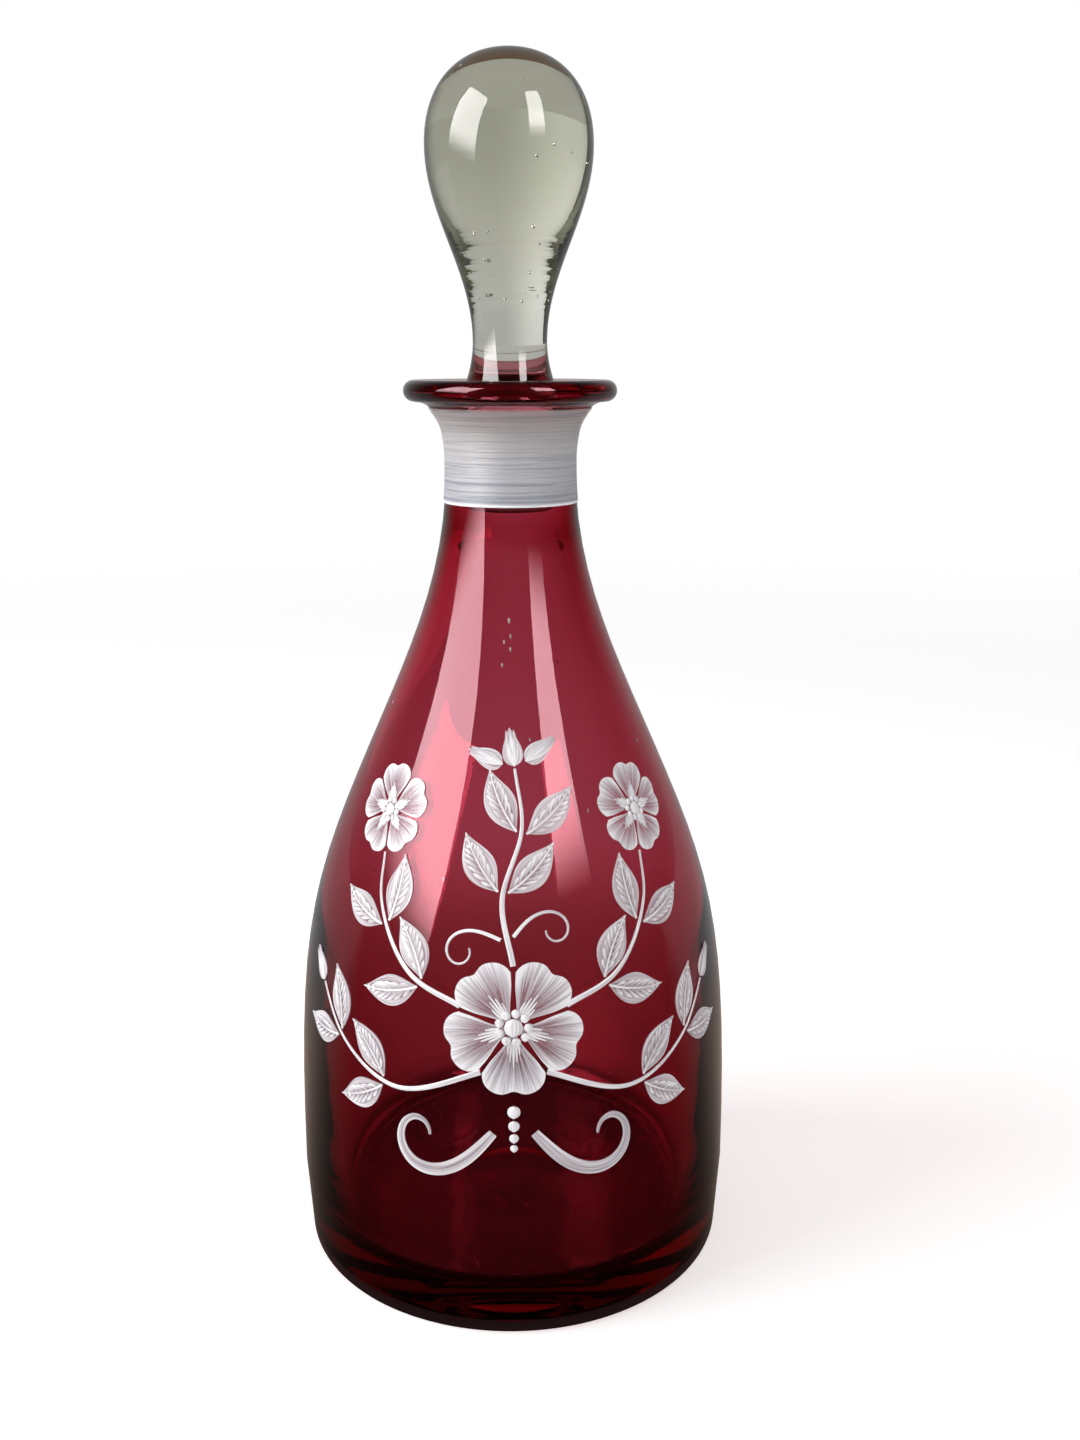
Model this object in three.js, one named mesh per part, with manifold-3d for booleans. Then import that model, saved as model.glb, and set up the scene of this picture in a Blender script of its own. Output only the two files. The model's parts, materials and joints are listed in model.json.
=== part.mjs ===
// A ruby cased glass decanter with a white enamel neck band, a sprig of enamel flowers and a solid
// clear stopper. It stands on z = 0, its axis is the z axis and its painted front faces -y.

import * as THREE from 'three';
import Module from 'manifold-3d';

// Driving dimensions, in millimetres unless a name says degrees or share.

// Foot
const FOOT_RING_INNER_RADIUS = 38;
const FOOT_RING_OUTER_RADIUS = 44.9;
const HEEL_ROUND = 2.2;
const FOOT_HOLLOW_HEIGHT = 1.5;
const PONTIL_RADIUS = 12.9;
const PONTIL_DEPTH = 1.5;

// Outside of the body: a belly, an S-curved shoulder and a throat. A pull is how far a curve keeps
// the direction that it leaves a point in.
const BELLY_RADIUS = 48.2;
const BELLY_HEIGHT = 18.6;
const BELLY_PULL = 50.2;
const SHOULDER_RADIUS = 33.9;
const SHOULDER_HEIGHT = 107.9;
const SHOULDER_RUN_PER_RISE = 0.43;
const SHOULDER_PULL_DOWN = 26.3;
const SHOULDER_PULL_UP = 25.2;
const THROAT_RADIUS = 13.5;
const THROAT_RISE = 67.1; // above the shoulder
const THROAT_PULL = 24.9;

// Lip: a rolled bead round the mouth
const LIP_RADIUS = 22;
const LIP_THICKNESS = 4.3;
const LIP_RISE = 16.5; // from the throat to the top of the lip
const LIP_DISH = 0.6; // the mouth's edge lies this far below the top of the lip
const FLARE_PULL_UP = 8.6;
const FLARE_PULL_OUT = 3.5;
const MOUTH_ROUND = 0.8;

// Walls and layers
const CASING_WALL = 1.1;
const HEEL_WALL = 5.4; // of the casing, round the floor
const HEEL_WALL_TOP = 25;
const THIN_WALL_FROM = 80;
const LINING_WALL = 0.6;
const LAYER_GAP = 0.3;
const FLOOR_HEIGHT = 8;
const FLOOR_CORNER = 5;

// Stopper: a drop on a waist, with a plug ground to the socket in the neck
const PLUG_TOP_RADIUS = 9.6;
const PLUG_TIP_RADIUS = 8.9;
const PLUG_LENGTH = 24;
const PLUG_SINK = 2.5; // from the top of the lip down to the top of the plug
const PLUG_TIP_ROUND = 1;
const PLUG_CLEARANCE = 0.3;
const WAIST_RADIUS = 7.6;
const WAIST_RISE = 7.6; // above the lip, as are the next two
const DROP_RISE = 44.9;
const CROWN_RISE = 62.8;
const DROP_RADIUS = 16.8;
const FLARE_PULL_DOWN = 5;
const WAIST_PULL = 14;
const DROP_PULL = 13.3;
const CROWN_PULL_DOWN = 6.5;
const CROWN_PULL_OUT = 9.9;

// Enamel
const ENAMEL_GAP = 0.3;
const BAND_THICKNESS = 0.4;
const BAND_BELOW_THROAT = 8.3;
const BAND_TO_LIP = 1.3;
const STROKE_RELIEF = 0.5;
const STROKE_CREST_SHARE = 0.7; // of a stroke's width, that its relief is flat across
const STROKE_TIP = 0.16; // least half width
const STROKE_SPACING = 0.45; // bare glass between two strokes that meet

// The flower spray on the front. Leans, bends and turns are in degrees.
const SPRAY_HEIGHT = 69; // the middle of the large blossom
const LARGE_BLOSSOM_RADIUS = 14;
const SMALL_BLOSSOM_RADIUS = 9.5;
const MIDDLE_STEM_RISE = 48; // above that middle
const UPPER_LEAVES_TO_TIP = 12.274; // down from that stem's tip, to keep its upper leaves off the buds
const HIGH_STEM_RISE = 30;
const LOW_STEM_DROP = 15;
const PETALS = 5;
const PETAL_SPREAD = 0.6; // half width for each millimetre from the middle
const EYE_SHARE = 0.24; // of a blossom's radius
const EYE_RELIEF = 0.8;
const STEM_HALF_WIDTH = 0.55;
const STEM_START_SHARE = 0.85; // of a blossom's radius, where a stem ends between two petals
const LEAF_HALF_WIDTH = 3.1;
const LEAF_LENGTH = 13.5;
const LEAF_LEAN = 48;
const LEAF_BEND = 24;
const BUD_HALF_WIDTH = 2;
const BUD_LENGTH = 7.8;
const BUD_LEAN = 62;
const BUD_CLEAR_SHARE = 1.2; // of its half width, that a leaning bud moves aside
const TENDRIL_HALF_WIDTH = 0.35;
const TENDRIL_LENGTH = 22;
const TENDRIL_START_SHARE = 0.12; // of the middle stem's length
const TENDRIL_LEAN = 50;
const TENDRIL_TURN = 330;
const SCROLL_HALF_WIDTH = 1.4;
const SCROLL_LENGTH = 42;
const SCROLL_TURN = 330;
const SCROLL_LEAN = 140; // from straight up
const SCROLL_ASIDE = 5; // degrees round the glass from the middle
const SCROLL_DROP = 8; // below the large blossom's petals
const DOT_RADIUS = 1.2;
const DOT_SPACING = 3.4;
const DOTS = 4;
const DOT_SHRINK_SHARE = 0.15; // from each to the next
const DOT_CLOSING_SHARE = 0.06;

// Facets
const CASING_SIDES = 44;
const LINING_SIDES = 36;
const STOPPER_SIDES = 36;

// Heights that follow
const throatHeight = SHOULDER_HEIGHT + THROAT_RISE;
const lipTop = throatHeight + LIP_RISE;
const lipMiddle = lipTop - LIP_THICKNESS / 2;
const lipBottom = lipTop - LIP_THICKNESS;
const mouthEdge = lipTop - LIP_DISH;
const plugTop = lipTop - PLUG_SINK;
const plugTip = plugTop - PLUG_LENGTH;

const beadRadius = LIP_RADIUS - LIP_THICKNESS / 2;
const mouthWall = LINING_WALL + LAYER_GAP;
const mouthTop = mouthEdge - MOUTH_ROUND;

const degrees = THREE.MathUtils.degToRad;
const up = new THREE.Vector3(0, 0, 1);

// Outside of the bottle from the top of the heel to the underside of the lip, as radius over height
function outsidePath() {
  const path = new THREE.Path();
  path.moveTo(FOOT_RING_OUTER_RADIUS + HEEL_ROUND, HEEL_ROUND);
  path.lineTo(BELLY_RADIUS, BELLY_HEIGHT);
  path.bezierCurveTo(
    BELLY_RADIUS, BELLY_HEIGHT + BELLY_PULL,
    SHOULDER_RADIUS + SHOULDER_RUN_PER_RISE * SHOULDER_PULL_DOWN, SHOULDER_HEIGHT - SHOULDER_PULL_DOWN,
    SHOULDER_RADIUS, SHOULDER_HEIGHT,
  );
  path.bezierCurveTo(
    SHOULDER_RADIUS - SHOULDER_RUN_PER_RISE * SHOULDER_PULL_UP, SHOULDER_HEIGHT + SHOULDER_PULL_UP,
    THROAT_RADIUS, throatHeight - THROAT_PULL,
    THROAT_RADIUS, throatHeight,
  );
  path.bezierCurveTo(
    THROAT_RADIUS, throatHeight + FLARE_PULL_UP,
    beadRadius - FLARE_PULL_OUT, lipBottom,
    beadRadius, lipBottom,
  );
  return path;
}

const outsideSamples = outsidePath().getPoints(60);

// Radius of the outside at a height
function outsideRadius(height) {
  const above = outsideSamples.findIndex((point) => point.y >= height);
  if (above <= 0) return outsideSamples.at(above).x;
  const low = outsideSamples[above - 1];
  const high = outsideSamples[above];
  return THREE.MathUtils.mapLinear(height, low.y, high.y, low.x, high.x);
}

// Change of a radius for each millimetre of height
function slopeOf(radiusAt, height) {
  const reach = 0.5;
  return (radiusAt(height + reach) - radiusAt(height - reach)) / (2 * reach);
}

function socketRadius(height) {
  const radius = THREE.MathUtils.mapLinear(height, plugTip, plugTop, PLUG_TIP_RADIUS, PLUG_TOP_RADIUS);
  return radius + PLUG_CLEARANCE;
}

// Thickness of the wall with both its layers: heavy round the floor, thin in the body, and thicker
// again up the neck to the socket
function wallAt(height) {
  const { lerp, smoothstep } = THREE.MathUtils;
  const casing = lerp(HEEL_WALL, CASING_WALL, smoothstep(height, HEEL_WALL_TOP, THIN_WALL_FROM));
  const neckWall = outsideRadius(plugTip) - socketRadius(plugTip);
  return lerp(casing + mouthWall, neckWall, smoothstep(height, SHOULDER_HEIGHT, plugTip));
}

// Radius of the hollow inside
function boreRadius(height) {
  if (height >= plugTip) return socketRadius(height);
  return outsideRadius(height) - wallAt(height) * Math.hypot(1, slopeOf(outsideRadius, height));
}

// The hollow's surface from the axis out over the floor and up to the mouth, moved out by an offset
function insideProfile(offset) {
  const wallStart = FLOOR_HEIGHT + FLOOR_CORNER;
  const cornerMiddle = boreRadius(wallStart) - FLOOR_CORNER;
  const points = [new THREE.Vector2(0, FLOOR_HEIGHT - offset)];
  const cornerSteps = 3;
  for (let i = 0; i < cornerSteps; i++) {
    const turn = (Math.PI / 2) * (i / cornerSteps);
    const reach = FLOOR_CORNER + offset;
    points.push(new THREE.Vector2(
      cornerMiddle + reach * Math.sin(turn),
      wallStart - reach * Math.cos(turn),
    ));
  }
  const bodySteps = 12;
  for (let i = 0; i <= bodySteps; i++) {
    const height = THREE.MathUtils.lerp(wallStart, plugTip, i / bodySteps);
    const stretch = Math.hypot(1, slopeOf(boreRadius, height));
    points.push(new THREE.Vector2(boreRadius(height) + offset * stretch, height));
  }
  points.push(new THREE.Vector2(boreRadius(mouthTop) + offset, mouthTop));
  return points;
}

// A solid turned about the z axis from a profile of radius over height
function turned(profile, sides) {
  return new THREE.LatheGeometry(profile, sides).rotateX(Math.PI / 2);
}

function casingGeometry() {
  const underside = new THREE.Path();
  underside.moveTo(0, FOOT_HOLLOW_HEIGHT + PONTIL_DEPTH);
  underside.quadraticCurveTo(
    PONTIL_RADIUS / 2, FOOT_HOLLOW_HEIGHT + PONTIL_DEPTH,
    PONTIL_RADIUS, FOOT_HOLLOW_HEIGHT,
  );
  underside.quadraticCurveTo(
    (PONTIL_RADIUS + FOOT_RING_INNER_RADIUS) / 2, FOOT_HOLLOW_HEIGHT,
    FOOT_RING_INNER_RADIUS, 0,
  );
  const heel = new THREE.Path();
  heel.absarc(FOOT_RING_OUTER_RADIUS, HEEL_ROUND, HEEL_ROUND, -Math.PI / 2, 0);
  const lip = new THREE.Path();
  lip.absarc(beadRadius, lipMiddle, LIP_THICKNESS / 2, -Math.PI / 2, Math.PI / 2);
  const mouth = new THREE.Path();
  const mouthRadius = boreRadius(mouthTop) + mouthWall;
  mouth.absarc(mouthRadius + MOUTH_ROUND, mouthTop, MOUTH_ROUND, Math.PI / 2, Math.PI);
  return turned([
    ...underside.getPoints(3),
    ...heel.getPoints(2),
    ...outsidePath().getPoints(8).slice(1),
    ...lip.getPoints(6).slice(1),
    ...mouth.getPoints(2),
    ...insideProfile(mouthWall).reverse().slice(1),
  ], CASING_SIDES);
}

function liningGeometry() {
  return turned([...insideProfile(LINING_WALL), ...insideProfile(0).reverse()], LINING_SIDES);
}

function stopperGeometry() {
  const tip = new THREE.Path();
  tip.moveTo(0, plugTip);
  tip.lineTo(PLUG_TIP_RADIUS - PLUG_TIP_ROUND, plugTip);
  tip.lineTo(PLUG_TIP_RADIUS, plugTip + PLUG_TIP_ROUND);
  tip.lineTo(PLUG_TOP_RADIUS, plugTop);
  const finial = new THREE.Path();
  finial.moveTo(PLUG_TOP_RADIUS, plugTop);
  finial.bezierCurveTo(
    PLUG_TOP_RADIUS, plugTop + PLUG_TIP_ROUND,
    WAIST_RADIUS, lipTop + WAIST_RISE - FLARE_PULL_DOWN,
    WAIST_RADIUS, lipTop + WAIST_RISE,
  );
  finial.bezierCurveTo(
    WAIST_RADIUS, lipTop + WAIST_RISE + WAIST_PULL,
    DROP_RADIUS, lipTop + DROP_RISE - DROP_PULL,
    DROP_RADIUS, lipTop + DROP_RISE,
  );
  finial.bezierCurveTo(
    DROP_RADIUS, lipTop + CROWN_RISE - CROWN_PULL_DOWN,
    CROWN_PULL_OUT, lipTop + CROWN_RISE,
    0, lipTop + CROWN_RISE,
  );
  return turned([...tip.getPoints(1), ...finial.getPoints(7).slice(1)], STOPPER_SIDES);
}

function bandGeometry() {
  const low = throatHeight - BAND_BELOW_THROAT;
  const high = lipBottom - BAND_TO_LIP;
  const steps = 5;
  const side = (lift) => Array.from({ length: steps + 1 }, (_, i) => {
    const height = THREE.MathUtils.lerp(low, high, i / steps);
    const slope = slopeOf(outsideRadius, height);
    return new THREE.Vector2(outsideRadius(height) + lift * Math.hypot(1, slope), height);
  });
  const outer = side(ENAMEL_GAP + BAND_THICKNESS);
  const inner = side(ENAMEL_GAP).reverse();
  return turned([...outer, ...inner, outer[0]], CASING_SIDES);
}

// A point of the front, so many degrees to the right of the middle
function onFront(angle, height) {
  const radius = outsideRadius(height);
  return new THREE.Vector3(
    radius * Math.sin(degrees(angle)),
    -radius * Math.cos(degrees(angle)),
    height,
  );
}

// The way out of the glass beside a point
function wayOut(point) {
  const slope = slopeOf(outsideRadius, point.z);
  const flat = new THREE.Vector3(point.x, point.y, 0).normalize();
  return flat.setZ(-slope).normalize();
}

// The point above the glass, by a lift, that lies level with a given point
function overGlass(point, lift) {
  const out = wayOut(point);
  const flat = new THREE.Vector3(point.x, point.y, 0).normalize();
  return flat.multiplyScalar(outsideRadius(point.z)).setZ(point.z).addScaledVector(out, lift);
}

// A brush stroke of enamel: six edges run along a route, flat on the glass and raised in the middle
function stroke(route, halfWidth, steps, relief = STROKE_RELIEF) {
  const crest = STROKE_CREST_SHARE;
  const section = [[-1, 0], [0, 0], [1, 0], [crest, 1], [0, 1], [-crest, 1]];
  const positions = [];
  for (let i = 0; i <= steps; i++) {
    const centre = route.getPoint(i / steps);
    const across = wayOut(centre).cross(route.getTangent(i / steps)).normalize();
    const width = Math.max(halfWidth(i / steps), STROKE_TIP);
    for (const [sideways, raised] of section) {
      const edge = centre.clone().addScaledVector(across, sideways * width);
      positions.push(...overGlass(edge, ENAMEL_GAP + raised * relief));
    }
  }
  const count = section.length;
  const triangles = [];
  for (let i = 0; i < steps; i++) {
    for (let k = 0; k < count; k++) {
      const here = i * count + k;
      const beside = i * count + (k + 1) % count;
      triangles.push(here, beside, beside + count, here, beside + count, here + count);
    }
  }
  const last = steps * count;
  for (let k = 1; k < count - 1; k++) {
    triangles.push(0, k + 1, k);
    triangles.push(last, last + k, last + k + 1);
  }
  const geometry = new THREE.BufferGeometry();
  geometry.setAttribute('position', new THREE.Float32BufferAttribute(positions, 3));
  geometry.setIndex(triangles);
  return geometry;
}

// A way along the glass from a point: a heading turned from another, in degrees to the left
function turnedWay(way, point, angle) {
  return way.clone().applyAxisAngle(wayOut(point), degrees(angle));
}

// A route of a given length from a point, which bends by some degrees on its way
function bentRoute(start, way, length, bend) {
  const middle = start.clone().addScaledVector(way, length / 2);
  const end = middle.clone().addScaledVector(turnedWay(way, start, bend), length / 2);
  return new THREE.QuadraticBezierCurve3(start, middle, end);
}

// A point of the front, so far above the middle of the large blossom
function onSpray(angle, rise) {
  return onFront(angle, SPRAY_HEIGHT + rise);
}

// Half widths along a stroke, by the share of its length
const roundEnds = (radius) => (t) => radius * Math.sqrt(Math.max(1 - (2 * t - 1) ** 2, 0));
const pointedEnds = (radius) => (t) => radius * Math.sin(Math.PI * t ** 0.9) ** 1.4;
const dropEnds = (radius) => (t) => radius * Math.sin(Math.PI * t ** 0.6);
const thinning = (radius) => (t) => radius * (1 - 0.6 * t);

function dot(centre, radius, relief = STROKE_RELIEF) {
  const low = centre.clone().addScaledVector(up, -radius);
  const high = centre.clone().addScaledVector(up, radius);
  return stroke(new THREE.LineCurve3(low, high), roundEnds(radius), 5, relief);
}

const manifold = await Module();
manifold.setup();

// One body made of strokes that overlap
function joined(geometries) {
  const solids = geometries.map((geometry) => new manifold.Manifold(new manifold.Mesh({
    numProp: 3,
    vertProperties: geometry.getAttribute('position').array,
    triVerts: new Uint32Array(geometry.getIndex().array),
  })));
  // Faces that nearly coincide leave crumbs beside the body, so the largest piece is kept.
  const bodies = solids.reduce((all, next) => all.add(next)).decompose();
  const [largest] = bodies.sort((a, b) => b.volume() - a.volume());
  const mesh = largest.getMesh();
  const geometry = new THREE.BufferGeometry();
  geometry.setAttribute('position', new THREE.BufferAttribute(mesh.vertProperties, 3));
  geometry.setIndex(new THREE.BufferAttribute(mesh.triVerts, 1));
  return geometry;
}

const petalTurn = 360 / PETALS;

// Petals round a raised eye, the first of them pointing a given way
function blossom(centre, radius, firstWay) {
  const eye = EYE_SHARE * radius;
  const inner = eye / 2;
  const petalWidth = (t) => PETAL_SPREAD * (inner + t * (radius - inner)) * Math.sqrt(1 - t ** 5);
  const shapes = [dot(centre, eye, EYE_RELIEF)];
  for (let i = 0; i < PETALS; i++) {
    const way = turnedWay(firstWay, centre, petalTurn * i);
    const start = centre.clone().addScaledVector(way, inner);
    const end = centre.clone().addScaledVector(way, radius);
    shapes.push(stroke(new THREE.LineCurve3(start, end), petalWidth, 7));
  }
  return joined(shapes);
}

const clearGlass = { color: 0xb9bfb6, roughness: 0.03, metalness: 0, transparent: true, opacity: 0.35 };
const rubyGlass = { color: 0x84162a, roughness: 0.03, metalness: 0, transparent: true, opacity: 0.75 };
const whiteEnamel = { color: 0xe9e4e6, roughness: 0.35, metalness: 0 };

const decanter = new THREE.Group();

function add(name, geometry, finish) {
  const mesh = new THREE.Mesh(geometry, new THREE.MeshStandardMaterial(finish));
  mesh.name = name;
  decanter.add(mesh);
}

add('clear_casing', casingGeometry(), clearGlass);
add('ruby_lining', liningGeometry(), rubyGlass);
add('stopper', stopperGeometry(), clearGlass);
add('neck_band', bandGeometry(), whiteEnamel);

const mirrored = [['left', -1], ['right', 1]];

function addStem(name, stem) {
  add(name, stroke(stem, thinning(STEM_HALF_WIDTH), 14), whiteEnamel);
}

// Leaves in pairs along a stem, at shares of its length, leaning towards its tip
function addLeaves(name, stem, shares) {
  const clear = (STEM_HALF_WIDTH + STROKE_SPACING) / Math.sin(degrees(LEAF_LEAN));
  for (const [number, share] of shares.entries()) {
    for (const [side, turn] of mirrored) {
      const root = stem.getPointAt(share);
      const way = turnedWay(stem.getTangentAt(share), root, -LEAF_LEAN * turn);
      const start = root.clone().addScaledVector(way, clear);
      const route = bentRoute(start, way, LEAF_LENGTH, LEAF_BEND * turn);
      add(`${name}_leaf_${number + 1}_${side}`, stroke(route, pointedEnds(LEAF_HALF_WIDTH), 8), whiteEnamel);
    }
  }
}

// A bud that goes on from the tip of a stem, turned from it by some degrees
function addBud(name, stem, turn) {
  const tip = stem.getPointAt(1);
  const way = turnedWay(stem.getTangentAt(1), tip, turn);
  const aside = BUD_CLEAR_SHARE * BUD_HALF_WIDTH * Math.abs(Math.sin(degrees(turn)));
  const start = tip.clone().addScaledVector(way, STROKE_SPACING + aside);
  const route = new THREE.LineCurve3(start, start.clone().addScaledVector(way, BUD_LENGTH));
  add(name, stroke(route, dropEnds(BUD_HALF_WIDTH), 8), whiteEnamel);
}

function addBlossom(name, stem) {
  const onward = stem.getTangentAt(1);
  const reach = STEM_START_SHARE * SMALL_BLOSSOM_RADIUS + STROKE_SPACING;
  const centre = stem.getPointAt(1).addScaledVector(onward, reach);
  add(name, blossom(centre, SMALL_BLOSSOM_RADIUS, onward), whiteEnamel);
}

// A route that winds up ever tighter, through so many degrees to the left in all
function curledRoute(start, way, length, turn) {
  const steps = 24;
  const points = [start.clone()];
  let heading = way.clone();
  for (let i = 0; i < steps; i++) {
    const next = points.at(-1).clone().addScaledVector(heading, length / steps);
    points.push(next);
    heading = turnedWay(heading, next, (turn * (2 * i + 1)) / steps ** 2);
  }
  return new THREE.CatmullRomCurve3(points);
}

function addTendril(name, stem, way) {
  const root = stem.getPointAt(TENDRIL_START_SHARE);
  const heading = turnedWay(stem.getTangentAt(TENDRIL_START_SHARE), root, -way * TENDRIL_LEAN);
  const clear = (STEM_HALF_WIDTH + STROKE_SPACING + TENDRIL_HALF_WIDTH) / Math.sin(degrees(TENDRIL_LEAN));
  const start = root.clone().addScaledVector(heading, clear);
  const route = curledRoute(start, heading, TENDRIL_LENGTH, -way * TENDRIL_TURN);
  add(name, stroke(route, thinning(TENDRIL_HALF_WIDTH), 20), whiteEnamel);
}

// A stem from between two petals of the large blossom, at some degrees left of straight up, through
// places given as degrees round the glass and shares of a rise above the blossom's middle
function stemThrough(turn, rise, places) {
  const middle = onSpray(0, 0);
  const way = turnedWay(up, middle, turn);
  const start = middle.clone().addScaledVector(way, STEM_START_SHARE * LARGE_BLOSSOM_RADIUS);
  return new THREE.CatmullRomCurve3([
    start, ...places.map(([angle, share]) => onSpray(angle, share * rise)),
  ]);
}

add('large_blossom', blossom(onSpray(0, 0), LARGE_BLOSSOM_RADIUS, up.clone().negate()), whiteEnamel);

const middleStem = stemThrough(0, MIDDLE_STEM_RISE, [[-3, 0.5], [3, 0.77], [1, 1]]);
addStem('middle_stem', middleStem);
const middleReach = MIDDLE_STEM_RISE - STEM_START_SHARE * LARGE_BLOSSOM_RADIUS;
addLeaves('middle', middleStem, [0.36, 1 - UPPER_LEAVES_TO_TIP / middleReach]);
addBud('top_bud_left', middleStem, BUD_LEAN);
addBud('top_bud_middle', middleStem, 0);
addBud('top_bud_right', middleStem, -BUD_LEAN);

for (const [side, way] of mirrored) {
  addTendril(`tendril_${side}`, middleStem, way);

  const highPlaces = [[way * 28, 0.3], [way * 40, 0.7], [way * 43, 1]];
  const highStem = stemThrough(-way * petalTurn, HIGH_STEM_RISE, highPlaces);
  addStem(`high_stem_${side}`, highStem);
  addLeaves(`high_${side}`, highStem, [0.24, 0.61]);
  addBlossom(`small_blossom_${side}`, highStem);

  const lowPlaces = [[way * 30, 1], [way * 48, 0.6], [way * 59, 0]];
  const lowStem = stemThrough(-way * 2 * petalTurn, -LOW_STEM_DROP, lowPlaces);
  addStem(`low_stem_${side}`, lowStem);
  addLeaves(`low_${side}`, lowStem, [0.45, 0.75]);
  addBud(`low_bud_${side}`, lowStem, 0);

  const scrollStart = onSpray(way * SCROLL_ASIDE, -LARGE_BLOSSOM_RADIUS - SCROLL_DROP);
  const outwards = turnedWay(up, scrollStart, -way * SCROLL_LEAN);
  const scroll = curledRoute(scrollStart, outwards, SCROLL_LENGTH, way * SCROLL_TURN);
  add(`scroll_${side}`, stroke(scroll, pointedEnds(SCROLL_HALF_WIDTH), 26), whiteEnamel);
}

// A string of dots under the large blossom, each smaller and nearer to the last
for (let i = 0; i < DOTS; i++) {
  const shrink = 1 - DOT_SHRINK_SHARE * i;
  const drop = LARGE_BLOSSOM_RADIUS + DOT_SPACING * (i + 1) * (1 - DOT_CLOSING_SHARE * i);
  add(`dot_${i + 1}`, dot(onSpray(0, -drop), DOT_RADIUS * shrink), whiteEnamel);
}

export default decanter;
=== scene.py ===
# %% [markdown]
# # A ruby decanter with white enamel
#
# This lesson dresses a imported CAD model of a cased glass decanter. The bottle was blown in two layers,
# clear crystal outside and ruby inside. A white enamel band and a spray of flowers were then fired on
# it, and a solid drop of clear glass stops its neck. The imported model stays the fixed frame, and each
# new piece either stands for one of its nodes or lies on one.

import json
import math
import random

import bpy
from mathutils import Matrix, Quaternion, Vector

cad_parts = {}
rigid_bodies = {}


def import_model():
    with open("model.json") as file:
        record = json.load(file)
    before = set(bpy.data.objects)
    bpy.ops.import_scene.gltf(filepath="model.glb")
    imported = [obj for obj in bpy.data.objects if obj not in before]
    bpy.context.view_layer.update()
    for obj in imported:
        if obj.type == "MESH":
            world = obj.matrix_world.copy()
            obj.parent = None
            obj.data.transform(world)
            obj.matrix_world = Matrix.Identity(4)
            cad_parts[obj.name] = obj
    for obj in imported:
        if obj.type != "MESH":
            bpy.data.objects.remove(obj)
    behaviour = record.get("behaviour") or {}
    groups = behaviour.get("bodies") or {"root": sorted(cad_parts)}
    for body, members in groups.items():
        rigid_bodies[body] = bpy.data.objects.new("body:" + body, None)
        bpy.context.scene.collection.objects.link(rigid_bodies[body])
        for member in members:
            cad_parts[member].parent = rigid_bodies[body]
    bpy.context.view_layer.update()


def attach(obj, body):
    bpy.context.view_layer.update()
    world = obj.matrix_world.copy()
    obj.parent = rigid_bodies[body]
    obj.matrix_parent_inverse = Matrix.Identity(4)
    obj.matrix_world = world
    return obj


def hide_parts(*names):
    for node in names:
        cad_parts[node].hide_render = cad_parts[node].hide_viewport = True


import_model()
MM = 0.001

# %% [markdown]
# ## The camera
#
# The photograph was taken from close by, a little above the shoulder of the bottle and looking down.
# The ellipses of the foot, the band and the lip fix that place. The lens is given for a 36 mm long
# side, and the bottle's axis lies a little left of the middle of the picture.

# %% Camera
CAMERA_DISTANCE = 300 * MM
CAMERA_HEIGHT = 195.8 * MM
LOOKING_DOWN = math.radians(14.3)
TURNED_RIGHT = math.radians(1.17)

bpy.ops.object.camera_add(
    location=(0, -CAMERA_DISTANCE, CAMERA_HEIGHT),
    rotation=(math.pi / 2 - LOOKING_DOWN, 0, -TURNED_RIGHT),
)
camera = bpy.context.object
camera.data.sensor_width = 36
camera.data.lens = 35.5
camera.data.clip_start = 0.01
bpy.context.scene.camera = camera
print("the camera is at", tuple(round(x, 3) for x in camera.location))

# %% [markdown]
# ## The sizes of the bottle
#
# A turned shape is one line, drawn as radius over height and spun round the axis. The outside of the
# bottle is a belly, an S-curved shoulder and a throat that flares into the lip, and four Bezier curves
# hold all of it. A few functions read a radius off that line, so that the inside of the walls and the
# enamel can follow it.

# %% The outside line, in millimetres
HEEL = (47.1, 2.2)
BELLY = (48.2, 18.6)
SHOULDER = (33.9, 107.9)
THROAT = (13.5, 175.0)
LIP_MIDDLE = (19.85, 189.35)
BEAD = 2.15
UNDER_LIP = (LIP_MIDDLE[0], LIP_MIDDLE[1] - BEAD)
LIP_TOP = LIP_MIDDLE[1] + BEAD

# Each curve is where it starts, its two handles and where it ends.
OUTSIDE = [
    (HEEL, HEEL, BELLY, BELLY),
    (BELLY, (48.2, 68.8), (45.2, 81.6), SHOULDER),
    (SHOULDER, (23.1, 133.1), (13.5, 150.1), THROAT),
    (THROAT, (13.5, 183.6), (16.35, 187.2), UNDER_LIP),
]


def between(start, end, share):
    return start + (end - start) * share


def on_curve(curve, t):
    """A point of a Bezier curve, by repeated halving of its control lines."""
    points = curve
    while len(points) > 1:
        points = [
            tuple(between(a, b, t) for a, b in zip(p, q)) for p, q in zip(points, points[1:])
        ]
    return points[0]


outside_line = [on_curve(curve, i / 60) for curve in OUTSIDE for i in range(61)]


def outside_radius(height):
    for (r0, z0), (r1, z1) in zip(outside_line, outside_line[1:]):
        if z0 <= height <= z1 and z1 > z0:
            return between(r0, r1, (height - z0) / (z1 - z0))
    return outside_line[0][0] if height < HEEL[1] else outside_line[-1][0]


def slope(radius_at, height, reach=0.5):
    return (radius_at(height + reach) - radius_at(height - reach)) / (2 * reach)


def eased(value, start, end):
    share = min(max((value - start) / (end - start), 0), 1)
    return share * share * (3 - 2 * share)


# %% [markdown]
# ## The inside of the walls
#
# Blown glass runs down while it is soft, so the wall is heaviest round the floor and gets thinner up to
# the shoulder. In the neck it is thick again, where the socket for the stopper was ground. How fast the
# wall thins decides how wide the dark, colourless sides of the bottle look.

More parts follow.
